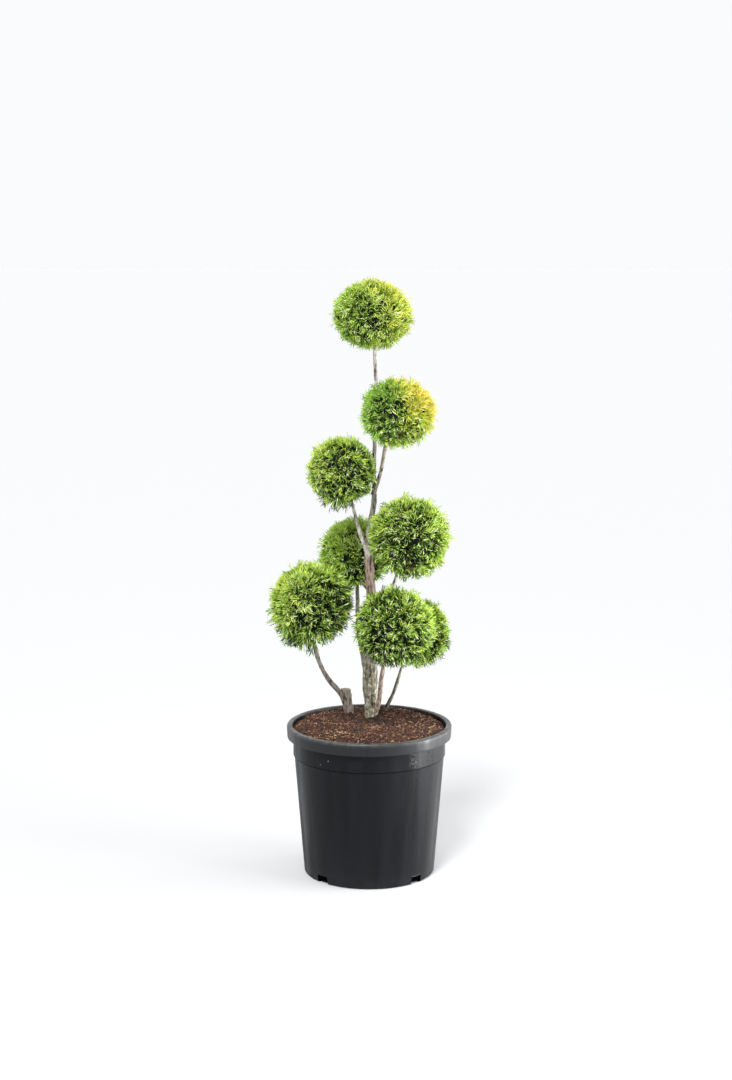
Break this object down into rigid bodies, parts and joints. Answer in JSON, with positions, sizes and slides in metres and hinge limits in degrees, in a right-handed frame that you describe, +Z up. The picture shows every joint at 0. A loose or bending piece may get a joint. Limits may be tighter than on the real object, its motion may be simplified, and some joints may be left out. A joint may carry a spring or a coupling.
{
  "type": "potted golden arborvitae clipped into balls",
  "caption": "Evergreen shrub clipped into round foliage balls on bare stems, growing in a round black nursery pot filled with peat.",
  "frame": {"origin": "centre of the pot's flat underside, on the pot's axis", "axes": "+Z up; the pictured front faces -Y; +X to the right in the picture"},
  "size_m": [0.3435, 0.3164, 1.1275],
  "materials": {
    "pot_plastic": "satin black moulded polypropylene",
    "peat": "loose reddish-brown peat fibres",
    "trunk_bark": "rough grey-brown bark",
    "bough_bark": "thin grey to reddish bark",
    "golden_foliage": "scale-leaved sprays, golden yellow-green",
    "green_foliage": "scale-leaved sprays, lime to mid green"
  },
  "bodies": {
    "root": {"pot": "pot_plastic", "soil": "peat", "trunk": "trunk_bark", "bough_upper_right": "bough_bark", "bough_upper_left": "bough_bark", "bough_middle_right": "bough_bark", "bough_middle_back": "bough_bark", "bough_lower_front": "bough_bark", "stem_lower_left": "bough_bark", "bough_lower_left": "bough_bark", "stem_lower_right": "bough_bark", "foliage_top": "golden_foliage", "foliage_upper_right": "golden_foliage", "foliage_upper_left": "green_foliage", "foliage_middle_right": "green_foliage", "foliage_middle_back": "green_foliage", "foliage_lower_left": "green_foliage", "foliage_lower_front": "green_foliage", "foliage_lower_right": "green_foliage"}
  },
  "joints": []
}
